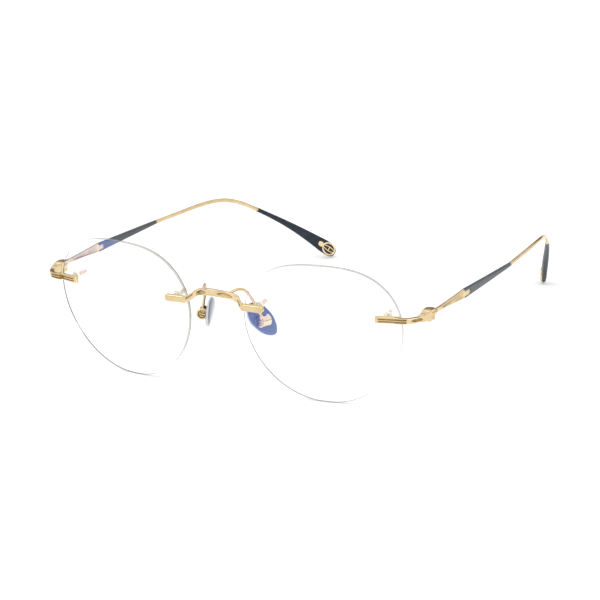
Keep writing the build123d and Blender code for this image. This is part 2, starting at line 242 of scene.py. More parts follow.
def procedural(name, low, high, rough, grain, stretch=(1, 1, 1), bump=0.05, patch=250, **sockets):
    """Principled material: colour drifts in patches, fine grain drives roughness and bump."""
    material = bpy.data.materials.new(name)
    material.use_nodes = True
    nodes, links = material.node_tree.nodes, material.node_tree.links
    shader = nodes["Principled BSDF"]
    coords = nodes.new("ShaderNodeTexCoord")
    mapping = nodes.new("ShaderNodeMapping")
    mapping.inputs["Scale"].default_value = stretch
    links.new(coords.outputs["Object"], mapping.inputs["Vector"])
    drift = nodes.new("ShaderNodeTexNoise")
    drift.inputs["Scale"].default_value = patch
    drift.inputs["Detail"].default_value = 4
    links.new(coords.outputs["Object"], drift.inputs["Vector"])
    ramp = nodes.new("ShaderNodeValToRGB")
    for element, position, colour in zip(ramp.color_ramp.elements, (0.35, 0.65), (low, high)):
        element.position = position
        element.color = (*colour, 1)
    links.new(drift.outputs["Fac"], ramp.inputs["Fac"])
    links.new(ramp.outputs["Color"], shader.inputs["Base Color"])
    fine = nodes.new("ShaderNodeTexNoise")
    fine.inputs["Scale"].default_value = grain
    fine.inputs["Detail"].default_value = 6
    links.new(mapping.outputs["Vector"], fine.inputs["Vector"])
    spread = nodes.new("ShaderNodeMapRange")
    spread.inputs["From Min"].default_value = 0.3
    spread.inputs["From Max"].default_value = 0.7
    spread.inputs["To Min"].default_value = rough[0]
    spread.inputs["To Max"].default_value = rough[1]
    links.new(fine.outputs["Fac"], spread.inputs["Value"])
    links.new(spread.outputs["Result"], shader.inputs["Roughness"])
    relief = nodes.new("ShaderNodeBump")
    relief.inputs["Strength"].default_value = bump
    relief.inputs["Distance"].default_value = RELIEF
    links.new(fine.outputs["Fac"], relief.inputs["Height"])
    links.new(relief.outputs["Normal"], shader.inputs["Normal"])
    for socket, value in sockets.items():
        shader.inputs[socket.replace("_", " ")].default_value = value
    return material


def gold_material(name, low, high, rough, stretch=(1, 1, 1), bump=0.04):
    return procedural(name, low, high, rough, 9000, stretch, bump, Metallic=1.0)


def engraved_material(name, low, high):
    """Gold with fine cut cells, for the sunk panels; the darker colours given to it are painted shade."""
    material = gold_material(name, low, high, (0.25, 0.45), bump=0.2)
    nodes, links = material.node_tree.nodes, material.node_tree.links
    cells = nodes.new("ShaderNodeTexVoronoi")
    cells.inputs["Scale"].default_value = CUT_CELLS
    links.new(nodes["Texture Coordinate"].outputs["Object"], cells.inputs["Vector"])
    relief = nodes.new("ShaderNodeBump")
    relief.inputs["Strength"].default_value = 0.55
    relief.inputs["Distance"].default_value = RELIEF
    links.new(cells.outputs["Distance"], relief.inputs["Height"])
    links.new(relief.outputs["Normal"], nodes["Principled BSDF"].inputs["Normal"])
    return material


def coated_lens():
    """Clear lens whose blue-violet coating mirrors the part of the light it holds back."""
    material = bpy.data.materials.new("coated_lens")
    material.use_nodes = True
    nodes, links = material.node_tree.nodes, material.node_tree.links
    nodes.remove(nodes["Principled BSDF"])
    clear = nodes.new("ShaderNodeBsdfTransparent")
    clear.inputs["Color"].default_value = (*(1 - c for c in COATING), 1)
    coat = nodes.new("ShaderNodeBsdfPrincipled")
    coat.inputs["Metallic"].default_value = 1.0
    coat.inputs["Base Color"].default_value = (*COATING, 1)
    coords = nodes.new("ShaderNodeTexCoord")
    haze = nodes.new("ShaderNodeTexNoise")
    haze.inputs["Scale"].default_value = HAZE
    links.new(coords.outputs["Object"], haze.inputs["Vector"])
    spread = nodes.new("ShaderNodeMapRange")
    spread.inputs["To Min"].default_value = 0.01
    spread.inputs["To Max"].default_value = 0.05
    links.new(haze.outputs["Fac"], spread.inputs["Value"])
    links.new(spread.outputs["Result"], coat.inputs["Roughness"])
    both = nodes.new("ShaderNodeAddShader")
    links.new(clear.outputs["BSDF"], both.inputs[0])
    links.new(coat.outputs["BSDF"], both.inputs[1])
    links.new(both.outputs["Shader"], nodes["Material Output"].inputs["Surface"])
    return material


def glass_edge(name, low, high, alpha, inside):
    """Edge surface seen only from outside the glass, or only from inside, by total reflection."""
    # The grey and near-black colours are painted shade, standing for the dark lines refraction draws along the
    # glass edge.
    material = procedural(name, low, high, (0.45, 0.6), 6000, bump=0.1, Alpha=alpha)
    nodes, links = material.node_tree.nodes, material.node_tree.links
    clear = nodes.new("ShaderNodeBsdfTransparent")
    total = nodes.new("ShaderNodeFresnel")
    total.inputs["IOR"].default_value = LENS_IOR
    mix = nodes.new("ShaderNodeMixShader")
    links.new(total.outputs["Fac"], mix.inputs["Fac"])
    links.new(nodes["Principled BSDF"].outputs["BSDF"], mix.inputs[2 if inside else 1])
    links.new(clear.outputs["BSDF"], mix.inputs[1 if inside else 2])
    links.new(mix.outputs["Shader"], nodes["Material Output"].inputs["Surface"])
    return material


GOLD = gold_material("gold", (0.63, 0.475, 0.265), (0.74, 0.58, 0.345), (0.12, 0.24), (1, 0.15, 1))
BRIGHT = gold_material("bright_gold", (0.76, 0.60, 0.35), (0.84, 0.68, 0.42), (0.06, 0.14))
# Near-black gold for panel borders, cuts, slits and the sunk oval: painted shade in the recesses.
ENGRAVED_PAINTED_SHADE = engraved_material("engraved_gold_painted_shade", (0.12, 0.08, 0.035), (0.40, 0.28, 0.14))
# Gold a step darker for the sunk chased panels: painted shade in the recess.
CHASED_PAINTED_SHADE = engraved_material("chased_gold_painted_shade", (0.44, 0.32, 0.16), (0.70, 0.54, 0.30))
# Dark brown gold for the flute grooves: painted shade in the grooves.
FLUTE = gold_material("fluted_gold_painted_shade", (0.28, 0.19, 0.085), (0.38, 0.27, 0.13), (0.2, 0.32), (0.1, 1, 1))
SCREW = gold_material("screw_gold", (0.60, 0.46, 0.27), (0.72, 0.57, 0.34), (0.16, 0.30))
LENS = coated_lens()
# Painted shade on the lens edge: a grey middle band, a near-black front strip and a dark back strip.
LENS_EDGE_PAINTED_SHADE = glass_edge("lens_edge_painted_shade", (0.24, 0.26, 0.22), (0.32, 0.34, 0.29), 0.70, False)
LENS_BACK_PAINTED_SHADE = glass_edge("lens_edge_back", (0.08, 0.09, 0.08), (0.13, 0.14, 0.12), 0.95, False)
LENS_RIM_PAINTED_SHADE = glass_edge("lens_rim_painted_shade", (0.04, 0.05, 0.055), (0.08, 0.09, 0.095), 0.95, True)
SLEEVE = procedural("clear_sleeve", (0.88, 0.80, 0.76), (0.95, 0.90, 0.88), (0.12, 0.2), 5000, bump=0.03,
                    Alpha=0.36, IOR=1.49)
WASHER = procedural("washer", (0.90, 0.84, 0.70), (0.96, 0.92, 0.82), (0.2, 0.3), 5000, Coat_Weight=0.5)
ENAMEL = procedural("dark_enamel", (0.012, 0.019, 0.028), (0.024, 0.033, 0.044), (0.24, 0.36), 3500,
                    bump=0.12, Coat_Weight=0.2, Coat_Roughness=0.15)
ACETATE = procedural("dark_acetate", (0.010, 0.016, 0.028), (0.018, 0.026, 0.040), (0.30, 0.40), 2500,
                     bump=0.04, Coat_Weight=0.08, Coat_Roughness=0.2, Specular_IOR_Level=0.2)
PAD = procedural("pad_silicone", (0.040, 0.058, 0.115), (0.055, 0.075, 0.140), (0.16, 0.24), 4000,
                 bump=0.03, Coat_Weight=0.8, Coat_Roughness=0.08, Sheen_Weight=1.0, Sheen_Roughness=0.2)
# Pale grey for the rim band of the dark pads: painted reflection of the bright surroundings at grazing angles.
PAD_RIM_PAINTED_REFLECTION = procedural("pad_rim_painted_reflection", (0.46, 0.48, 0.52), (0.56, 0.58, 0.62), (0.20, 0.30), 4000, bump=0.03,
                     Coat_Weight=0.6, Coat_Roughness=0.1)


# ---------- lenses ----------
LENS_CENTRE_X = 33.9
LENS_RADIUS = 24.5
LENS_THICK = 1.9
BASE_CURVE = 180.0
WRAP = 8.0
PANTO = 8.4
OUTLINE_SIZE = 0.951
OUTLINE_WAVES = (0.052, 0.039, -0.010)
LENS_SHARES = (0.02, 0.2, 0.4, 0.6, 0.8, 0.92)
LENS_BEVEL = 0.16
# Widths of the front and back strips of the edge that carry the painted shade.
FRONT_STRIP = 0.45
BACK_STRIP = 0.3


def lens_axes():
    turn, lean = radians(WRAP), radians(PANTO)
    across = Vector((cos(turn), sin(turn), 0))
    return plane_axes(across, across.cross(Vector((0, -sin(lean), cos(lean)))))


LENS_X, LENS_Y, LENS_Z = lens_axes()
LENS_ORIGIN = Vector((LENS_CENTRE_X, 0, 0))
SPHERE_Z = -sqrt(BASE_CURVE ** 2 - LENS_RADIUS ** 2)


def lens_point(u, v, sunk=0.0):
    """Point at (u, v) on the lens front, or that far under it."""
    depth = SPHERE_Z + sqrt((BASE_CURVE - sunk) ** 2 - u * u - v * v)
    return LENS_ORIGIN + LENS_X * u + LENS_Y * v + LENS_Z * depth


def outline_radius(a):
    """Nearly round outline, a little wide, with a flattened top."""
    wide, top, square = OUTLINE_WAVES
    return OUTLINE_SIZE * LENS_RADIUS * (1 + wide * cos(2 * a) + top * sin(3 * a) + square * cos(4 * a))


def lens_ring(share, sunk, inset=0.0, count=180):
    ring = []
    for i in range(count):
        a = 2 * pi * i / count
        r = outline_radius(a) * share - inset
        ring.append(lens_point(r * cos(a), r * sin(a), sunk))
    return ring


def build_lens(tag, side):
    """Thin domed shell with its edge flat ground and finely bevelled."""
    shape = Shape()
    edge = (LENS_BEVEL, LENS_BEVEL + FRONT_STRIP, LENS_THICK - LENS_BEVEL - BACK_STRIP,
            LENS_THICK - LENS_BEVEL)
    rings = [lens_ring(share, 0) for share in LENS_SHARES] + [lens_ring(1, 0, LENS_BEVEL)]
    first = len(rings)
    rings += [lens_ring(1, sunk) for sunk in edge] + [lens_ring(1, LENS_THICK, LENS_BEVEL)]
    rings += [lens_ring(share, LENS_THICK) for share in reversed(LENS_SHARES)]
    # Edge faces take the painted shade materials: front strip, middle band and back strip.
    painted_shade_strips = {first: 2, first + 1: 1, first + 2: 3}
    shape.loft(rings, finish=lambda i, j: painted_shade_strips.get(i, 0))
    materials = [LENS, LENS_EDGE_PAINTED_SHADE, LENS_RIM_PAINTED_SHADE, LENS_BACK_PAINTED_SHADE]
    shape.build(f"lens_glass_{tag}", "front", materials, side, f"lens_{tag}", 30)


# ---------- bars on the lenses ----------
POST_ROW = 6.25
BAR_MIDDLE = 20.2
BAR_LIFT = 0.06
BAR_THICK = 1.24
BAR_SOFT = 0.42
BAR_LEAST = 0.9
BAR_CORNER = 5
BAR_FACES = 24
FLUTE_ROWS = (-0.3, 0.36)
FLUTE_HALF = 0.2
FLUTE_DEPTH = 0.3
FLUTE_START = (0.7, 1.2)
# height, inner and outer end along the seat, radius of the ends
BRIDGE_BAR = (2.13, -4.68, 2.72, 1.05)
END_BAR = (1.98, -3.28, 4.68, 0.25)


def seat(side):
    """Origin and axes on the lens front at the nasal (-1) or temporal (1) post."""
    origin = lens_point(side * BAR_MIDDLE, POST_ROW)
    normal = origin - (LENS_ORIGIN + LENS_Z * SPHERE_Z)
    return (origin, *plane_axes(LENS_X, normal))


def front_height(height, place):
    """Height on a bar's flat front, for places from 0 at its lower side to BAR_FACES."""
    return (BAR_SOFT - height / 2) * (1 - 2 * place / BAR_FACES)


def bar_section(height, thick, flute):
    """Flat back and softened front, with two grooves of the given depth along the front."""
    half = height / 2
    turns = [radians(90 * i / (BAR_CORNER + 1)) for i in range(1, BAR_CORNER + 1)]
    outline = [(-half, 0.0), (-half, thick - BAR_SOFT)]
    outline += [(-half + BAR_SOFT * (1 - cos(a)), thick - BAR_SOFT * (1 - sin(a))) for a in turns]
    for i in range(BAR_FACES + 1):
        y = front_height(height, i)
        groove = sum(max(0.0, 1 - ((y - row) / FLUTE_HALF) ** 2) for row in FLUTE_ROWS)
        outline.append((y, thick - flute * sqrt(groove)))
    outline += [(half - BAR_SOFT * (1 - sin(a)), thick - BAR_SOFT * (1 - cos(a))) for a in turns]
    return outline + [(half, thick - BAR_SOFT), (half, 0.0)]


def bar_places(start, end, radius, curve=8, straight=40):
    """Section places along a bar, closer together on its round ends."""
    bend = [radius * (1 - cos(radians(90 * i / curve))) for i in range(curve + 1)]
    length = end - start - 2 * radius
    middle = [start + radius + length * i / straight for i in range(1, straight)]
    return [start + b for b in bend] + middle + [end - b for b in reversed(bend)]


def add_bar(shape, side, size, flute=0.0):
    """Bar lying on the lens along its seat."""
    height, start, end, radius = size
    origin, x, y, z = seat(side)
    places = bar_places(start, end, radius)
    plain, full = FLUTE_START
    rings = []
    for place in places:
        share = min(rounded_end(place - start, radius), rounded_end(end - place, radius))
        deep = flute * between([(start, 0), (start + plain, 0), (start + full, 1), (end, 1)], place)
        tall = height * (share if radius > BAR_THICK / 2 else 0.88 + 0.12 * share)
        outline = bar_section(max(tall, BAR_LEAST), BAR_THICK * (0.55 + 0.45 * share), deep)
        scale = min(1.0, tall / BAR_LEAST)
        centre = origin + x * place + z * BAR_LIFT
        rings.append([centre + y * (v * scale) + z * w for v, w in outline])
    # Groove faces of fluted bars take the dark brown gold: painted shade in the flutes.
    first = BAR_CORNER + 2
    shaded_grooves = [first + i for i in range(BAR_FACES)
               if min(abs(front_height(height, i + 0.5) - row) for row in FLUTE_ROWS) < 0.17]
    shape.loft(rings, finish=lambda i, j: 2 if flute and j in shaded_grooves and places[i] > start + 0.9 else 0)


# ---------- bridge ----------
# half of the arch, from the middle out: across, then forward or up
ARCH_PLAN = [(0, -5.30), (2.2, -5.10), (4.2, -4.35), (6.0, -3.35), (7.4, -3.10), (8.8, -4.10), (10.2, -5.02)]
ARCH_RISE = [(0, 9.60), (2.2, 9.45), (4.2, 9.05), (6.0, 8.45), (7.6, 7.50), (9.0, 6.45), (10.6, 6.05)]
ARCH_THICK = 1.26
ARCH_HEIGHT = 2.11
ARCH_SOFT = 0.34
ARCH_CORNER = 6
ARCH_FACES = 22
ARCH_END = 10.1
ARCH_RINGS = 360
PANEL = (1.9, 6.1)
PANEL_HALF = 0.62
PANEL_STEP = 0.12
PANEL_DEPTH = 0.24
# Width of the painted shade band along the upper edge of each panel.
PANEL_SHADE_BAND = 0.3
MARKS = (7.9, 8.35, 8.8, 9.25)
MARK_DEPTH = 0.16


def mirrored_line(half, count=400):
    """Second coordinate of a symmetric curve, as arrays over the first."""
    full = [(-a, b) for a, b in reversed(half[1:])] + half
    line = smooth_line([(a, b, 0) for a, b in full], count)
    return [p.x for p in line], [p.y for p in line]


def panel_depth(x, height):
    """Sunk pointed panel on the arch face: 1 inside, 0 outside."""
    place = (abs(x) - PANEL[0]) / (PANEL[1] - PANEL[0])
    if not 0 < place < 1:
        return 0.0
    room = PANEL_HALF * sin(pi * place) ** 0.75
    return max(0.0, min(1.0, (room - abs(height)) / PANEL_STEP))


def mark_depth(x, height):
    """Short slanting cuts above the elbow: 1 inside, 0 outside."""
    slant = abs(x) + 0.25 * height
    inside = any(abs(slant - mark) < 0.13 for mark in MARKS)
    return 1.0 if inside and -0.1 < height < 0.62 else 0.0


def arch_height(place):
    """Height on the arch's front face, for places from 0 at its upper side to ARCH_FACES."""
    return (ARCH_HEIGHT / 2 - ARCH_SOFT) * (1 - 2 * place / ARCH_FACES)


def arch_ring(x, plan, rise):
    """Section of the arch at x, with its panel and cuts in the front face."""
    centre = Vector((x, np.interp(x, *plan), np.interp(x, *rise)))
    outline = rounded(ARCH_THICK, ARCH_HEIGHT, ARCH_SOFT, ARCH_CORNER)
    ring = [centre + Vector((0, a, b)) for a, b in outline]
    face = []
    for i in range(1, ARCH_FACES):
        b = arch_height(i)
        sunk = PANEL_DEPTH * panel_depth(x, b) + MARK_DEPTH * mark_depth(x, b)
        face.append(centre + Vector((0, -ARCH_THICK / 2 + sunk, b)))
    half = len(ring) // 2
    return ring[:half] + face + ring[half:]


def build_bridge():
    """Arch with engraved panels, and the two bars it runs into."""
    plan, rise = mirrored_line(ARCH_PLAN), mirrored_line(ARCH_RISE)
    places = [-ARCH_END + 2 * ARCH_END * i / ARCH_RINGS for i in range(ARCH_RINGS + 1)]
    corner = 2 * ARCH_CORNER + 1

    # The panel's upper edge band and the cuts take the near-black gold, the rest of the panel the darker chased
    # gold: painted shade in the recesses.
    def finish(i, j):
        if not corner < j < corner + ARCH_FACES:
            return 0
        x, height = places[i], arch_height(j - corner)
        depth = panel_depth(x, height)
        in_shade_band = depth > 0 and panel_depth(x, height + PANEL_SHADE_BAND) < 1
        if in_shade_band or mark_depth(x, height) > 0:
            return 1
        return 2 if depth else 0

    shape = Shape()
    shape.loft([arch_ring(x, plan, rise) for x in places], finish=finish)
    bar = Shape()
    add_bar(bar, -1, BRIDGE_BAR)
    for mirror in (1, -1):
        shape.add(bar, mirror)
    shape.build("bridge_engraved", "front", [GOLD, ENGRAVED_PAINTED_SHADE, CHASED_PAINTED_SHADE], 1, "bridge", 30)


# ---------- end-pieces ----------
END_PLAN = [(57.2, 0.45), (59.6, 0.95), (61.7, 2.5), (63.1, 5.2), (63.4, 8.6)]
NECK_WIDTHS = [(0, 1.22), (0.62, 1.5), (0.85, 2.1), (1, 2.6)]
NECK_HEIGHTS = [(0, 1.96), (0.3, 1.75), (0.62, 1.6), (0.85, 2.3), (1, 2.9)]
NECK_SOFT = 0.34
OVAL_MIDDLE = 0.56
OVAL_HALF = (0.15, 0.52)
OVAL_DEPTH = 0.2
NECK_FLUTE = 0.28
NECK_FLUTE_END = 0.3
HINGE_HALF = 1.65
EAR = 0.85
EAR_BEVEL = 0.1
EAR_FRONT = (1.4, 2.75)
KNUCKLE_R = 1.53
HEAD_HOLE_R = 0.97
SHAFT_HOLE_R = 0.52
BLOCK = (2.78, 1.1, 3.24)
BLOCK_FORWARD = 2.24
BLOCK_SOFT = 0.3
BLOCK_BEVEL = 0.12


def hinge_axes(side):
    lean = radians(HINGE_LEAN) * side
    return Vector((cos(lean), 0, -sin(lean))), Vector((0, 1, 0)), Vector((sin(lean), 0, cos(lean)))


def ear_outline(hole, count=48):
    """Outer and hole outlines of an ear: round at the back and squared towards the front."""
    outer, inner = [], []
    wide, deep = EAR_FRONT
    for c, s in ellipse(1, 1, count):
        r = min(wide / max(abs(c), 1e-6), deep / abs(s)) if s < 0 else KNUCKLE_R
        outer.append((r * c, r * s))
        inner.append((hole * c, hole * s))
    return outer, inner


def add_ear(shape, axes, low, high, hole):
    x, y, z = axes
    outer, inner = ear_outline(hole)
    lower, upper = low + EAR_BEVEL, high - EAR_BEVEL
    steps = ((outer, low, 0.93), (outer, lower, 1), (outer, upper, 1), (outer, high, 0.93),
             (inner, high, 1.06), (inner, upper, 1), (inner, lower, 1), (inner, low, 1.06))
    rings = [[HINGE + x * (u * k) + y * (v * k) + z * h for u, v in line] for line, h, k in steps]
    shape.loft(rings, closed=True)


def add_block(shape, axes):
    """Block in front of the ears, with rounded long edges and bevelled ends."""
    x, y, z = axes
    wide, deep, tall = BLOCK
    end, full = deep / 2, deep / 2 - BLOCK_BEVEL
    rings = []
    for place, scale in ((-end, 0.9), (-full, 1), (full, 1), (end, 0.9)):
        centre = HINGE + y * (place - BLOCK_FORWARD)
        rings.append(placed(rounded(wide * scale, tall * scale, BLOCK_SOFT), centre, x, z))
    shape.loft(rings)


def add_neck(shape):
    """Neck from the bar to the hinge block, waisted, with a sunk oval in its outer face."""
    line = smooth_line([(x, y, HINGE.z) for x, y in END_PLAN], 90)
    rings, sunk = [], {}
    for i, centre in enumerate(line):
        t = i / (len(line) - 1)
        outline = rounded(between(NECK_WIDTHS, t), between(NECK_HEIGHTS, t), NECK_SOFT, 6)
        points = []
        for j, (u, v) in enumerate(densify(outline, 16)):
            oval = 1 - ((t - OVAL_MIDDLE) / OVAL_HALF[0]) ** 2 - (v / OVAL_HALF[1]) ** 2
            fluted = 0 < t < NECK_FLUTE_END
            groove = max(1 - ((v - row) / FLUTE_HALF) ** 2 for row in FLUTE_ROWS) if fluted else 0
            # Oval faces take the near-black gold and groove faces the dark brown gold: painted shade in the
            # recesses.
            if oval > 0 and u > 0.2:
                u -= OVAL_DEPTH * sqrt(oval)
                sunk[i, j] = 1
            elif groove > 0 and u > 0.4:
                u -= NECK_FLUTE * sqrt(groove)
                sunk[i, j] = 2
            points.append((u, v))
        rings.append(placed(points, centre, *section_axes(line, i)))
    shape.loft(rings, finish=lambda i, j: sunk.get((i, j), 0))


def build_endpiece(tag, side):
    shape = Shape()
    add_bar(shape, 1, END_BAR, FLUTE_DEPTH)
    add_neck(shape)
    axes = hinge_axes(side)
    add_block(shape, axes)
    add_ear(shape, axes, HINGE_HALF - EAR, HINGE_HALF, HEAD_HOLE_R)
    add_ear(shape, axes, -HINGE_HALF, -HINGE_HALF + EAR, SHAFT_HOLE_R)
    shape.build(f"endpiece_fluted_{tag}", "front", [GOLD, ENGRAVED_PAINTED_SHADE, FLUTE], side,
                f"endpiece_{tag}", 30)


# ---------- temples ----------
TEMPLE_X = 64.0
TEMPLE_Z = 6.6
NECK_START = 13.4
NECK_END = 16.5
NECK_HALF = 0.645
PADDLE_END = 32.0
PADDLE_SWELL = 0.795
PADDLE_HALF = 0.59
PADDLE_CHAMFER = 0.34
PADDLE_STEP = 0.3
PADDLE_RINGS = 61
SUNK_DEPTH = 0.07
SUNK_KEYS = [(17, 0), (19, 1), (30.6, 1), (31.2, 0)]
CREASE_DEPTH = 0.22
CREASE_KEYS = [(17, 1), (24, 1), (29, 0)]
TONGUE_END = 35.4
TONGUE_HIDDEN = 0.4
TONGUE_THICK = 1.19
TONGUE_HALF = 0.79
WIRE_R = 0.65
# back, across and up
WIRE = [(66.2, 63.45, 6.63), (78, 62.3, 6.65), (88, 61.25, 6.7), (96, 60.1, 6.5), (102, 58.8, 5.85),
        (108, 57.1, 4.1), (116.6, 53.8, -0.4), (130, 47.5, -9.3), (145.2, 39.8, -21.55)]
TIP_START = 116.6
WIRE_LAP = 0.1


def wire_line():
    return smooth_line([(x, y, z) for y, x, z in WIRE], 600)


def half_height(y):
    """Half the paddle's height: a slim neck swelling evenly towards its end."""
    grow = max(0.0, (y - NECK_END) / (PADDLE_END - NECK_END))
    return NECK_HALF + PADDLE_SWELL * grow ** 1.15


def paddle_ring(y, half):
    """Flat bar section with a bevelled upper and lower edge and sunk side faces."""
    thick, edge = PADDLE_HALF, half - min(PADDLE_CHAMFER, half * 0.42)
    panel = thick - SUNK_DEPTH * between(SUNK_KEYS, y)
    crease = CREASE_DEPTH * between(CREASE_KEYS, y)
    outline = [(thick, -edge), (thick, -edge + 0.08), (panel, -edge + 0.14), (panel, 0),
               (panel, max(0.02, edge - 0.24 - crease)), (thick, edge - 0.08), (thick, edge),
               (thick * 0.45, half), (-thick * 0.45, half)]
    outline += [(-u, -v) for u, v in outline]
    return [Vector((TEMPLE_X + u, y, TEMPLE_Z + v)) for u, v in outline]


def add_paddle(shape):
    """Neck and paddle, a little smaller at both ends."""
    rings = [paddle_ring(NECK_START, half_height(NECK_START) - 0.05)]
    for i in range(PADDLE_RINGS):
        y = NECK_START + 0.1 + i * PADDLE_STEP
        rings.append(paddle_ring(y, half_height(y)))
    rings.append(paddle_ring(PADDLE_END, half_height(PADDLE_END) - 0.005))
    # Panel faces take the darker chased gold and the crease slope beside each panel the near-black gold: painted
    # shade.
    painted_shade_strips = {2: 2, 3: 2, 4: 1, 11: 2, 12: 2, 13: 1}
    shape.loft(rings, finish=lambda i, j: painted_shade_strips.get(j, 0) if 12 < i < 59 else 0)


def add_tongue(shape):
    """Rounded tongue lying in the dark section."""
    start = PADDLE_END - TONGUE_HIDDEN
    rings = []
    for i in range(16):
        y = start + (TONGUE_END - start) * sin(radians(90 * i / 15))
        half = TONGUE_HALF * rounded_end(TONGUE_END - y, 0.8)
        outline = rounded(TONGUE_THICK, 2 * half, 0.16)
        rings.append([Vector((TEMPLE_X + u, y, TEMPLE_Z + v)) for u, v in outline])
    shape.loft(rings)


def build_temple(tag, side):
    shape = Shape()
    add_paddle(shape)
    add_tongue(shape)
    bare = [p for p in wire_line() if p.y <= TIP_START + WIRE_LAP]
    shape.tube(bare[::2], WIRE_R)
    shape.build(f"temple_paddle_wire_{tag}", f"temple_{tag}", [GOLD, ENGRAVED_PAINTED_SHADE, CHASED_PAINTED_SHADE], side,
                f"temple_core_{tag}", 25)


def build_dark_section(tag, side):
    """Enamelled section, flat sided near the paddle and round where the wire leaves it."""
    y, x, z = WIRE[0]
    line = smooth_line([(TEMPLE_X, PADDLE_END, TEMPLE_Z), (63.8, 48, TEMPLE_Z), (x, y, z)], 60)
    rings = []
    for i, centre in enumerate(line):
        t = i / (len(line) - 1)
        shrink = 0.93 if t in (0, 1) else 1
        outline = rounded((1.12 + 0.2 * t) * shrink, (2.9 - 1.54 * t) * shrink, 0.3 + 0.36 * t)
        rings.append(placed(outline, centre, *section_axes(line, i)))
    shape = Shape()
    shape.loft(rings)
    shape.build(f"temple_enamel_{tag}", f"temple_{tag}", [ENAMEL], side,
                f"temple_sleeve_{tag}", 40)


# ---------- tips ----------
TIP_ROUND = (0.91, 0.78)
ORNAMENT_PLACE = 0.905
ORNAMENT_OUT = 0.88
ORNAMENT = (3.05, 2.2)
ORNAMENT_RING = (0.32, 0.3)
ORNAMENT_BAR_R = 0.2
ORNAMENT_LIFT = 0.05
ORNAMENT_TONGUE = (-4.0, 1.25, 0.92)


def tip_line():
    return [p for p in wire_line() if p.y >= TIP_START - WIRE_LAP]


def tip_size(t):
    """Half thickness and half height along the tip."""
    half = 0.72 + 1.58 * min(1, (t / 0.85) ** 1.8)
    thick = 0.70 + 0.30 * min(1, 2 * t)
    start, loss = TIP_ROUND
    ending = max(0, (t - start) / (1 - start))
    share = sqrt(1 - loss * ending ** 2)
    return thick * share, half * share


def build_tip(tag, side):
    line = tip_line()[::3]
    rings = []
    for i, centre in enumerate(line):
        t = i / (len(line) - 1)
        outline = superellipse(*tip_size(t), 1 - 0.22 * min(1, 2 * t))
        rings.append(placed(outline, centre, *section_axes(line, i)))
    shape = Shape()
    shape.loft(rings)
    shape.build(f"temple_tip_moulded_{tag}", f"temple_{tag}", [ACETATE], side,
                f"temple_tip_{tag}", 50)


def ornament_axes():
    """Middle of the inner face near the end of the tip: along it, across it and out of it."""
    line = tip_line()
    i = round(ORNAMENT_PLACE * (len(line) - 1))
    level = section_axes(line, i)[0]
    inward = level if level.x < 0 else -level
    along = (line[i + 1] - line[i - 1]).normalized()
    return line[i] + inward * ORNAMENT_OUT, along, inward.cross(along), inward


def add_rolled_ring(shape, origin, x, y, z):
    long, short = (half - ORNAMENT_RING[0] for half in ORNAMENT)
    rings = []
    for c, s in ellipse(1, 1, 72):
        rings.append([x * ((long + r) * c) + y * ((short + r) * s) + z * h + origin
                      for r, h in ellipse(*ORNAMENT_RING, 14)])
    shape.loft(rings, closed=True)


def add_end_tongue(shape, origin, x, y, z):
    middle, reach, width = ORNAMENT_TONGUE
    rings = []
    for i in range(19):
        place = sin(radians(-90 + 10 * i))
        half = width * sqrt(max(0.04, 1 - place ** 2)) ** 0.8
        centre = origin + x * (middle + reach * place) + z * 0.02
        rings.append(placed(rounded(2 * half, 0.5, 0.2), centre, y, z))
    shape.loft(rings)


def build_ornament(tag, side):
    """Openwork oval with a tongue: a rolled ring, two lengthwise bars and a short cross bar."""
    origin, x, y, z = ornament_axes()
    lifted = origin + z * ORNAMENT_LIFT
    shape = Shape()
    add_rolled_ring(shape, origin, x, y, z)
    for bow in (-1, 1):
        turns = [i / 8 - 1 for i in range(17)]
        line = [lifted + x * (2.3 * t) + y * bow * (0.7 - 0.35 * t * t) for t in turns]
        shape.tube(line, ORNAMENT_BAR_R, 12)
    shape.tube([lifted + y * (0.7 - 0.175 * i) for i in range(9)], ORNAMENT_BAR_R, 12)
    add_end_tongue(shape, origin, x, y, z)
    shape.build(f"tip_ornament_{tag}", f"temple_{tag}", [BRIGHT], side,
                f"tip_plate_{tag}", 50)


# ---------- nose pads ----------
PAD_PIVOT = Vector((10.5, 6.6, -1.2))
PAD_SPLAY = 19.0
PAD_FRONTAL = 12.5
PAD_LEAN = 36.0
PAD_THICK = 1.7
PAD_HALF = (3.7, 7.0)
PAD_FACE = 1.27
PAD_OFFSET = (0.9, -0.4)
PAD_DOME = 54
PAD_FIT = 0.995
PAD_SHARES = [0.03 + 0.9 * i / 26 for i in range(27)] + [0.95, 0.97, 0.985, 0.995, 1.0]
# First ring of the rim band that takes the painted reflection.
RIM_START = 28
HOLLOW = (2.0, 2.05)
HOLLOW_R = 2.06
DRUM_HALF = 1.6
SCREW_R = 0.99
SLITS = (-0.4, 0.3)
SLIT_DEPTH = 0.2
SCREW_POINTS = 72
# radius and height of the collar round the screw head
COLLAR = [(1.62, 0), (1.62, 0.1), (1.5, 0.22), (1.25, 0.22), (1.14, 0.1), (1.12, 0.02), (1.04, 0.06)]
SHAFT_R = 0.35
SHAFT = (0.05, 3.15)
ARM = [(4.3, -3.9, 8.9), (5.0, -1.7, 9.5), (6.4, 1.5, 9.4), (7.6, 3.5, 7.2), (8.5, 4.4, 4.8),
       (9.4, 5.2, 2.3), (10.2, 6.0, 0.2)]
ARM_R = 0.445


def pad_axes():
    """Axes of the pad: back along its pivot, up across it and out towards the nose."""
    splay, tilt = radians(PAD_SPLAY), radians(PAD_FRONTAL)
    back = Vector((sin(splay), cos(splay), 0))
    normal = Vector((-cos(splay), sin(splay), 0)) * cos(tilt) - UP * sin(tilt)
    return plane_axes(back, normal)


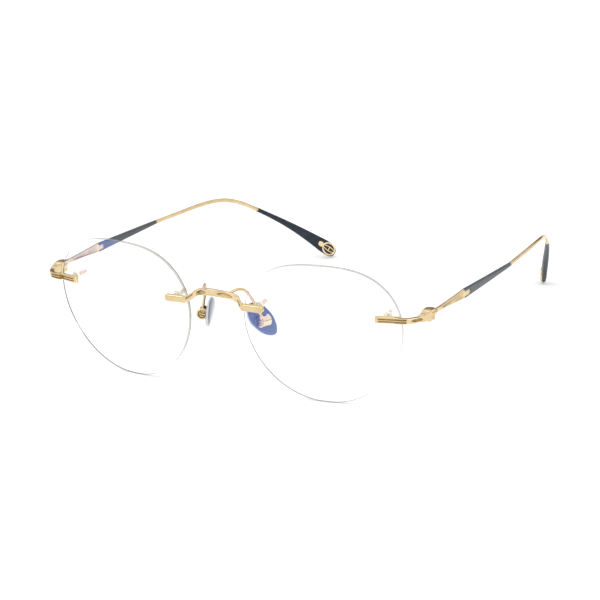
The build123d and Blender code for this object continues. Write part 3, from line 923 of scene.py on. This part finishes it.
def pad_outline(count=96):
    """Drop shape, closed and evenly spaced."""
    w, h = PAD_HALF
    points = [(-w * 0.2, -h), (w * 0.72, -h * 0.6), (w, 0), (w * 0.86, h * 0.55), (w * 0.1, h),
              (-w * 0.72, h * 0.6), (-w * 1.04, 0), (-w, -h * 0.55)]
    wrapped = points[-3:] + points + points[:3]
    line = smooth_line([(a, b, 0) for a, b in wrapped], 2000)
    seam = Vector((*points[0], 0))
    start, end = (min(span, key=lambda i: (line[i] - seam).length) for span in (range(400, 900), range(1200, 2000)))
    return [line[start + (end - start) * i // count] for i in range(count)]


def drum_hollow(spot, x, y):
    """How far the back of the pad is hollowed over a point, to clear the drum."""
    offset = spot - PAD_PIVOT
    along, across = abs(offset.dot(x)), abs(offset.dot(y))
    if along > HOLLOW[0] or across > HOLLOW[1]:
        return 0.0
    return max(0.0, sqrt(HOLLOW_R ** 2 - across ** 2) - PAD_FACE)


def build_pad(tag, side):
    """Domed pad with a rounded rim and a hollow round the drum behind it."""
    x, y, z = pad_axes()
    turn = radians(-PAD_LEAN)
    px, py = x * cos(turn) + y * sin(turn), y * cos(turn) - x * sin(turn)
    origin = PAD_PIVOT + z * PAD_FACE + x * PAD_OFFSET[0] + y * PAD_OFFSET[1]
    outline = pad_outline()
    front, rear = [], []
    for share in PAD_SHARES:
        rim = sqrt(1 - share ** 14)
        top, low = [], []
        for p in outline:
            q = p * share * PAD_FIT
            dome = PAD_THICK - (q.x ** 2 + q.y ** 2) / PAD_DOME
            spot = origin + px * q.x + py * q.y
            top.append(spot + z * (dome * (0.5 + 0.5 * rim)))
            low.append(spot + z * max(dome * 0.5 * (1 - rim), drum_hollow(spot, x, y)))
        front.append(top)
        rear.append(low)
    # The rim band takes the pale material: painted reflection.
    painted_reflection_rim = range(RIM_START, 2 * len(PAD_SHARES) - RIM_START - 1)
    shape = Shape()
    shape.loft(rear + front[::-1], finish=lambda i, j: int(i in painted_reflection_rim))
    shape.build(f"nose_pad_soft_{tag}", f"pad_{tag}", [PAD, PAD_RIM_PAINTED_REFLECTION], side, f"nose_pad_{tag}", 60)


def in_slit(radius, v, half):
    return radius < SCREW_R and min(abs(v - slit) for slit in SLITS) < half


def build_pad_screw(tag, side):
    """Domed screw head with two slits, in a raised collar on the front of the drum, and its shaft."""
    x, y, z = pad_axes()
    face = PAD_PIVOT - x * DRUM_HALF
    dome = [(1.02 - 0.06 * i, 0.08 + 0.2 * sqrt(1 - (1 - i / 17) ** 2)) for i in range(18)]
    profile = COLLAR + dome
    rings = []
    for radius, height in profile:
        outline = ellipse(max(radius, 0.02), max(radius, 0.02), SCREW_POINTS)
        rings.append([face - x * (height - (SLIT_DEPTH if in_slit(radius, v, 0.14) else 0)) + y * v + z * u
                      for u, v in outline])

    # Slit faces and the inner slope of the collar take the near-black gold: painted shade in the slits and the
    # groove round the head.
    def finish(i, j):
        radius = profile[i][0]
        v = radius * sin(2 * pi * (j + 0.5) / SCREW_POINTS)
        return int(in_slit(radius, v, 0.17) or 3 <= i < 6)

    shape = Shape()
    shape.loft(rings, finish=finish)
    shape.loft([placed(ellipse(SHAFT_R, SHAFT_R, 20), face + x * place, y, z) for place in SHAFT])
    shape.build(f"pad_screw_head_{tag}", "front", [SCREW, ENGRAVED_PAINTED_SHADE], side, f"pad_screw_{tag}", 35)


def build_arm(tag, side):
    line = smooth_line(ARM, 90)
    rings = []
    for i, centre in enumerate(line):
        tangent = (line[min(i + 1, len(line) - 1)] - line[max(i - 1, 0)]).normalized()
        across = tangent.cross(Vector((1, 0.3, 0))).normalized()
        rings.append(placed(ellipse(ARM_R, ARM_R, 20), centre, across, tangent.cross(across)))
    shape = Shape()
    shape.loft(rings)
    shape.build(f"pad_arm_wire_{tag}", "front", [GOLD], side, f"pad_arm_{tag}", 50)


# ---------- the rest of the CAD nodes ----------
CAD_FINISH = {
    "hinge": SCREW, "posts": GOLD, "sleeves": SLEEVE, "washers": WASHER, "temple_barrel": GOLD,
    "tip_plate": BRIGHT, "pad_box": BRIGHT, "pad_screw": SCREW, "pad_mount": BRIGHT, "pad_plate": BRIGHT,
}


def dress_nodes():
    """Gives every carried-over CAD node its material."""
    for name, node in frame["nodes"].items():
        node.data.materials.clear()
        node.data.materials.append(next((CAD_FINISH[key] for key in CAD_FINISH if key in name), GOLD))


# ---------- setting ----------
FLOOR_SIZE = 8
FLOOR_DROP = 0.0002
WORLD_STRENGTH = 1.05
# name, offset from the middle of the part, size, and power of the lights, all in metres and watts
LIGHTS = (("key", (-0.7, -0.9, 1.3), (1.4, 1.0), 7.0), ("fill", (1.1, -0.3, 1.0), (1.2, 1.2), 5.5))
CARDS = (("card_front", (-0.35, -0.75, 0.19), (1.4, 0.26)), ("card_back", (-0.45, 0.95, 0.30), (1.6, 0.34)),
         ("card_right", (0.9, 0.1, 0.12), (0.9, 0.14)))
CAMERA_TURN = (29.0345, 16.5814, -1.5238)
CAMERA_AIM = Vector((0, 47.972, -7.347))
CAMERA_DISTANCE = 0.87473
CAMERA_LENS = 168
CAMERA_SENSOR = 36


def link(name, data):
    obj = bpy.data.objects.new(name, data)
    bpy.context.scene.collection.objects.link(obj)
    return obj


def build_floor():
    bpy.ops.mesh.primitive_grid_add(x_subdivisions=4, y_subdivisions=4, size=FLOOR_SIZE)
    floor = bpy.context.object
    floor.name = "studio_floor"
    floor.location.z = -FLOOR_DROP
    floor.data.materials.append(procedural("floor_paper", (0.93, 0.93, 0.93), (0.95, 0.95, 0.95), (0.7, 0.8), 60,
                                           bump=0.0))


def add_light(name, place, target, size, power):
    light = bpy.data.lights.new(name, "AREA")
    light.shape = "RECTANGLE"
    light.size, light.size_y = size
    light.energy = power
    obj = link(name, light)
    obj.location = place
    obj.rotation_euler = (target - place).to_track_quat("-Z", "Y").to_euler()


def add_card(name, place, target, size):
    """Dark studio card seen only in reflections, which gives the metal its contrast."""
    mesh = bpy.data.meshes.new(name)
    w, h = size[0] / 2, size[1] / 2
    mesh.from_pydata([(-w, -h, 0), (w, -h, 0), (w, h, 0), (-w, h, 0)], [], [(0, 1, 2, 3)])
    card = link(name, mesh)
    card.location = place
    card.rotation_euler = (target - place).to_track_quat("Z", "Y").to_euler()
    mesh.materials.append(procedural("studio_card", (0.10, 0.09, 0.08), (0.14, 0.12, 0.10), (0.8, 0.9), 30))
    card.visible_camera = False
    card.visible_shadow = False
    card.visible_diffuse = False
    card.visible_transmission = False


def build_setting():
    centre = (cad_box[0] + cad_box[1]) / 2
    build_floor()
    for name, offset, size, power in LIGHTS:
        add_light(name, centre + Vector(offset), centre, size, power)
    for name, offset, size in CARDS:
        add_card(name, centre + Vector(offset), centre, size)
    world = bpy.data.worlds.new("studio")
    bpy.context.scene.world = world
    world.use_nodes = True
    background = world.node_tree.nodes["Background"]
    background.inputs["Color"].default_value = (1, 1, 1, 1)
    background.inputs["Strength"].default_value = WORLD_STRENGTH


def build_camera():
    """Camera at the same angle as in the picture: aimed at the middle, a little rolled."""
    azimuth, elevation, roll = (radians(angle) for angle in CAMERA_TURN)
    back = Vector((sin(azimuth) * cos(elevation), -cos(azimuth) * cos(elevation), sin(elevation)))
    right = UP.cross(back).normalized()
    up = back.cross(right)
    x = right * cos(roll) + up * sin(roll)
    y = up * cos(roll) - right * sin(roll)
    data = bpy.data.cameras.new("camera")
    data.lens = CAMERA_LENS
    data.sensor_width = CAMERA_SENSOR
    camera = link("camera", data)
    place = ORIGIN + CAMERA_AIM * MM + back * CAMERA_DISTANCE
    camera.matrix_world = Matrix(((x.x, y.x, back.x, place.x), (x.y, y.y, back.y, place.y),
                                  (x.z, y.z, back.z, place.z), (0, 0, 0, 1)))
    bpy.context.scene.camera = camera


build_camera()
build_setting()
dress_nodes()
build_bridge()
for tag, side in SIDES:
    build_lens(tag, side)
    build_endpiece(tag, side)
    build_temple(tag, side)
    build_dark_section(tag, side)
    build_tip(tag, side)
    build_ornament(tag, side)
    build_pad_screw(tag, side)
    build_pad(tag, side)
    build_arm(tag, side)
bpy.context.scene.view_settings.view_transform = "Standard"
